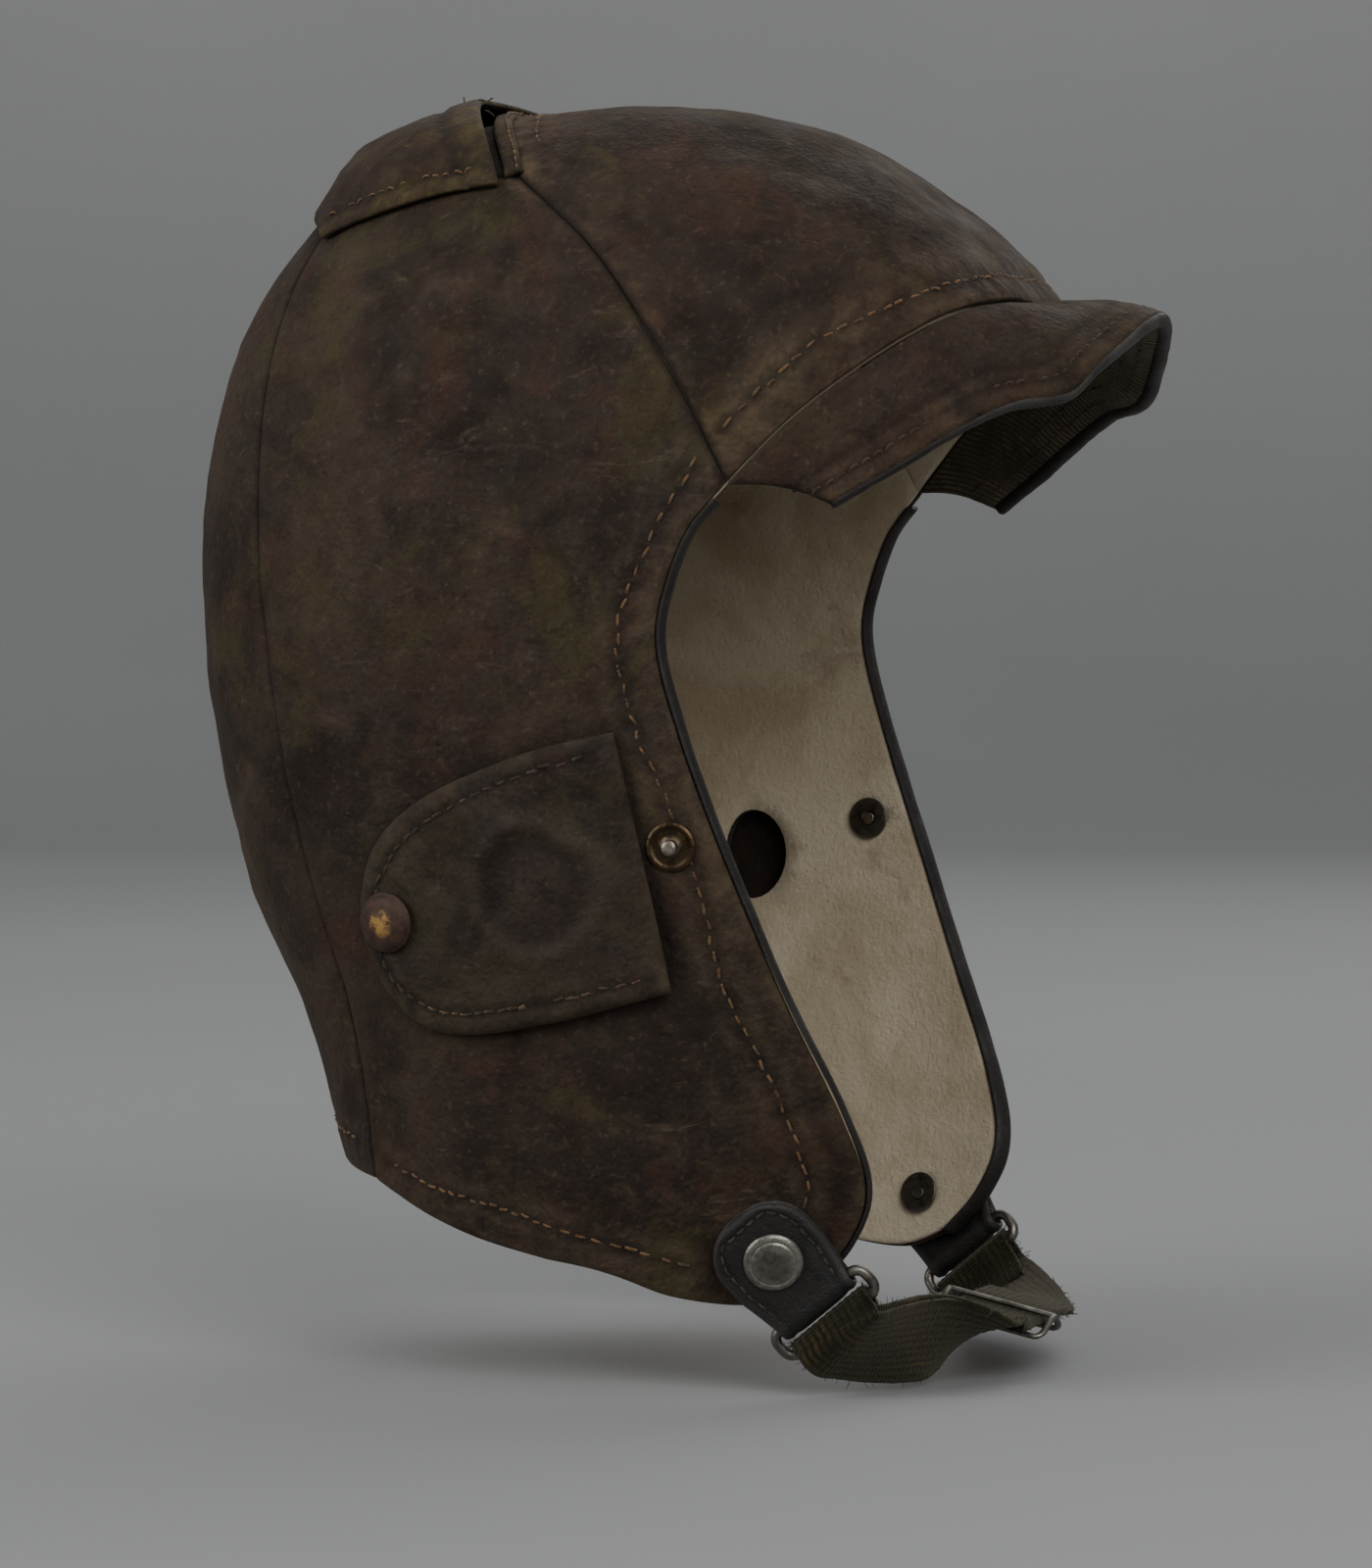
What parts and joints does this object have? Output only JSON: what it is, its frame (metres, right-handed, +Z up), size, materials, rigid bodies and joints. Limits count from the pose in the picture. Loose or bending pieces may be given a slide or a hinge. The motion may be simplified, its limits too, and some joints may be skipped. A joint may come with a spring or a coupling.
{
  "type": "soft leather flying helmet",
  "caption": "Soft leather flying helmet with a short peak, ear flaps that open on press studs, a crown strap keeper and a webbing chin strap.",
  "frame": {"origin": "centre of the head that wears the helmet, on the mid-plane, at the level where the helmet is widest", "axes": "+Z up, the wearer faces -Y, the wearer's right side is -X"},
  "size_m": [0.1608, 0.2075, 0.2664],
  "materials": {
    "leather": "worn suede-like brown leather, rubbed lighter along seams and hems",
    "leather_dark": "smooth dark brown to grey-black leather",
    "lining": "thin cream chamois leather",
    "peak_cloth": "ribbed dark brown cloth",
    "board": "stiff buckram board",
    "webbing": "dark olive ribbed webbing with fuzzy edges",
    "brass": "tarnished brown brass",
    "steel": "dull worn nickel-plated steel"
  },
  "bodies": {
    "shell": {"side_panel_right": "leather", "side_panel_left": "leather", "front_panel": "leather", "back_panel": "leather", "sweatband": "leather", "strap_keeper": "leather", "crown_welt": "leather", "peak_leather": "leather", "face_binding_right": "leather_dark", "face_binding_left": "leather_dark", "ear_ring_right": "leather_dark", "ear_ring_left": "leather_dark", "peak_binding": "leather_dark", "chin_tab_left": "leather_dark", "side_lining_right": "lining", "side_lining_left": "lining", "front_lining": "lining", "back_lining": "lining", "peak_cloth": "peak_cloth", "peak_board": "board", "front_stud_right": "brass", "front_stud_left": "brass", "rear_stud_right": "steel", "rear_stud_left": "steel", "rear_stud_washer_right": "steel", "rear_stud_washer_left": "steel", "front_stud_washer_right": "steel", "front_stud_washer_left": "steel", "chin_stud_right": "steel", "chin_stud_left": "steel", "chin_stud_washer_right": "steel", "chin_stud_washer_left": "steel", "chin_tab_snap_cap_left": "steel"},
    "flap_right": {"ear_flap_right": "leather", "flap_snap_cap_right": "brass", "flap_snap_socket_right": "brass"},
    "flap_left": {"ear_flap_left": "leather", "flap_snap_cap_left": "brass", "flap_snap_socket_left": "brass"},
    "loop_left": {"wire_loop_left": "steel"},
    "strap": {"chin_webbing": "webbing"},
    "slide": {"strap_slide": "steel"},
    "loop_right": {"wire_loop_right": "steel"},
    "tab_right": {"chin_tab_right": "leather_dark", "chin_tab_snap_cap_right": "steel"}
  },
  "joints": [
    {"name": "ear_flap_right_hinge", "type": "hinge", "parent": "shell", "child": "flap_right", "pos_m": [-0.07574, -0.0241, -0.05464], "axis": [-0.0856, 0.2051, 0.975], "range_deg": [0, 115]},
    {"name": "ear_flap_left_hinge", "type": "hinge", "parent": "shell", "child": "flap_left", "pos_m": [0.07574, -0.0241, -0.05464], "axis": [-0.0856, -0.2051, -0.975], "range_deg": [0, 115]},
    {"name": "left_loop_hinge", "type": "hinge", "parent": "shell", "child": "loop_left", "pos_m": [0.05678, -0.05447, -0.14375], "axis": [-0.0497, -0.7638, 0.6435], "range_deg": [0, 35]},
    {"name": "chin_strap_hinge", "type": "hinge", "parent": "loop_left", "child": "strap", "pos_m": [0.05455, -0.05825, -0.14841], "axis": [-0.0497, -0.7638, 0.6435], "range_deg": [0, 70]},
    {"name": "strap_slide_travel", "type": "slide", "parent": "strap", "child": "slide", "axis": [0.9978, -0.0599, 0.0299], "range_m": [-0.004, 0.004]},
    {"name": "right_loop_hinge", "type": "hinge", "parent": "strap", "child": "loop_right", "pos_m": [-0.05455, -0.05825, -0.14841], "axis": [0.0497, -0.7638, 0.6435], "range_deg": [0, 50]},
    {"name": "right_tab_hinge", "type": "hinge", "parent": "loop_right", "child": "tab_right", "pos_m": [-0.05678, -0.05447, -0.14375], "axis": [0.0497, -0.7638, 0.6435], "range_deg": [0, 60]}
  ]
}
